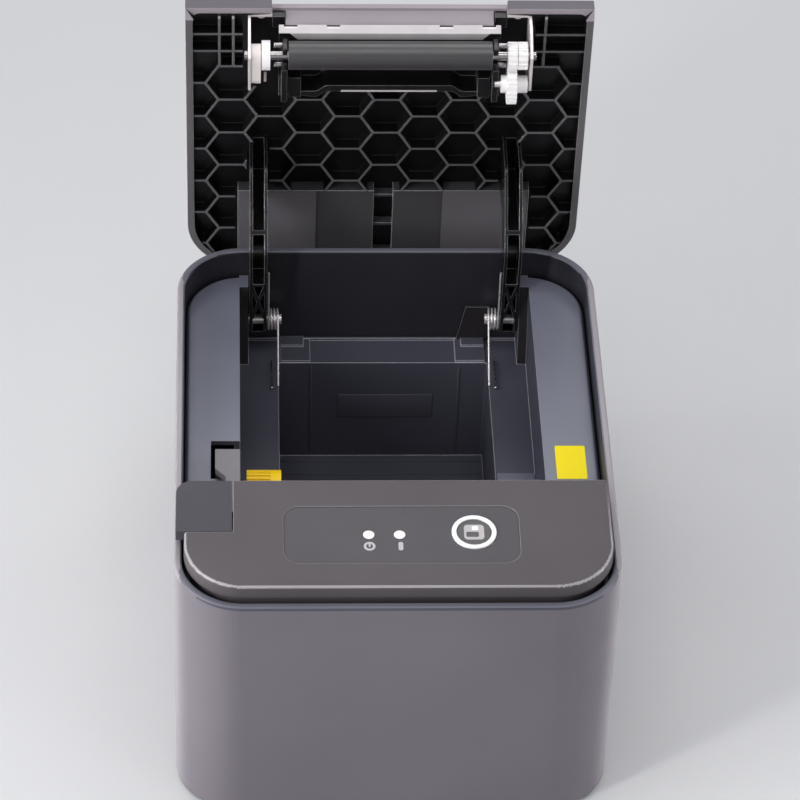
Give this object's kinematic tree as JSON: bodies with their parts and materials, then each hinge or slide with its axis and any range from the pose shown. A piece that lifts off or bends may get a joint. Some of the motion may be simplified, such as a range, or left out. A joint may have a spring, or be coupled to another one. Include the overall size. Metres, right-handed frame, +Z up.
{
  "type": "receipt printer",
  "caption": "Desktop receipt printer: deep round-cornered case, sloped control cover and a hinged, honeycomb-ribbed lid with the platen, open over the paper roll well.",
  "frame": {"origin": "on the ground under the middle of the case, in the plane of the rubber feet", "axes": "+X to the right seen from the front, +Y to the rear where the lid hinges, +Z up"},
  "size_m": [0.16, 0.2272, 0.2126],
  "materials": {
    "case_plastic": "fine satin",
    "tray_plastic": "satin",
    "black_plastic": "satin",
    "window_plastic": "gloss",
    "white_plastic": "satin",
    "bright_metal": "polished",
    "steel": "satin",
    "sink_metal": "satin",
    "rubber": "matt",
    "yellow_plastic": "gloss",
    "board": "satin",
    "head_glass": "gloss"
  },
  "bodies": {
    "body": {"case": "case_plastic", "base_plate": "tray_plastic", "base_screws": "steel", "rubber_feet": "rubber", "tray": "tray_plastic", "front_cover": "case_plastic", "panel_window": "window_plastic", "status_lights": "white_plastic", "feed_button_ring": "bright_metal", "right_hinge_pin": "steel", "left_hinge_pin": "steel", "right_hinge_spring": "steel", "left_hinge_spring": "steel", "print_chassis": "steel", "thermal_head": "head_glass", "heat_sink": "sink_metal", "feed_motor": "steel", "drive_axle": "steel", "cutter_housing": "black_plastic", "cutter_gearbox": "black_plastic", "main_board": "board", "board_posts": "black_plastic", "dc_inlet": "black_plastic", "usb_socket": "bright_metal", "network_socket": "bright_metal", "drawer_socket": "black_plastic", "rocker_bezel": "black_plastic"},
    "lid_unit": {"lid": "black_plastic", "lid_inner_panel": "black_plastic", "right_hinge_arm": "black_plastic", "left_hinge_arm": "black_plastic", "platen_frame": "black_plastic", "fixed_blade": "steel", "guide_strip": "steel", "right_bracket": "steel", "left_bracket": "steel", "bracket_screws": "steel", "platen_bearing": "white_plastic", "compound_pin": "steel"},
    "platen": {"platen_shaft": "steel", "platen_rubber": "rubber", "platen_gear": "white_plastic", "platen_drive_gear": "white_plastic", "platen_collar": "white_plastic"},
    "compound": {"compound_gear": "white_plastic"},
    "pinion": {"motor_pinion": "white_plastic"},
    "drive": {"drive_gear": "white_plastic"},
    "feed_key": {"feed_button": "black_plastic"},
    "release": {"release_button": "case_plastic", "release_lever": "case_plastic"},
    "knife": {"cutter_blade": "steel"},
    "hand_wheel": {"cutter_wheel": "yellow_plastic"},
    "rocker": {"power_rocker": "black_plastic"}
  },
  "joints": [
    {"name": "lid_hinge", "type": "hinge", "parent": "body", "child": "lid_unit", "pos_m": [0, 0.09, 0.0775], "axis": [1, 0, 0], "range_deg": [0, 85], "stiffness_Nm_per_rad": 0.03, "springref_deg": -17.19, "deforming": ["right_hinge_spring", "left_hinge_spring"]},
    {"name": "platen_turn", "type": "hinge", "parent": "lid_unit", "child": "platen", "pos_m": [0, 0.0993, 0.19948], "axis": [1, 0, 0], "continuous": true},
    {"name": "compound_turn", "type": "hinge", "parent": "lid_unit", "child": "compound", "pos_m": [0, 0.09783, 0.18747], "axis": [1, 0, 0], "continuous": true},
    {"name": "drive_turn", "type": "hinge", "parent": "body", "child": "drive", "pos_m": [0, -0.04968, 0.07718], "axis": [1, 0, 0], "continuous": true},
    {"name": "pinion_turn", "type": "hinge", "parent": "body", "child": "pinion", "pos_m": [0, -0.067, 0.05873], "axis": [1, 0, 0], "continuous": true},
    {"name": "feed_press", "type": "slide", "parent": "body", "child": "feed_key", "axis": [0, -0.0482, 0.9988], "range_m": [-0.0012, 0], "stiffness_N_per_m": 300, "springref_m": 0.001},
    {"name": "release_press", "type": "slide", "parent": "body", "child": "release", "axis": [0, 0, 1], "range_m": [-0.002, 0], "stiffness_N_per_m": 400, "springref_m": 0.002},
    {"name": "knife_slide", "type": "slide", "parent": "body", "child": "knife", "axis": [0, 1, 0], "range_m": [0, 0.009]},
    {"name": "hand_wheel_turn", "type": "hinge", "parent": "body", "child": "hand_wheel", "pos_m": [0, -0.013, 0.0815], "axis": [1, 0, 0], "range_deg": [0, 180]},
    {"name": "rocker_tip", "type": "hinge", "parent": "body", "child": "rocker", "pos_m": [0, 0.097, 0.044], "axis": [1, 0, 0], "range_deg": [-8, 8]}
  ],
  "couplings": [
    {"joint": "compound_turn", "follows": "platen_turn", "ratio": -0.66667},
    {"joint": "pinion_turn", "follows": "drive_turn", "ratio": -6},
    {"joint": "hand_wheel_turn", "follows": "knife_slide", "rad_per_m": 349.07}
  ]
}
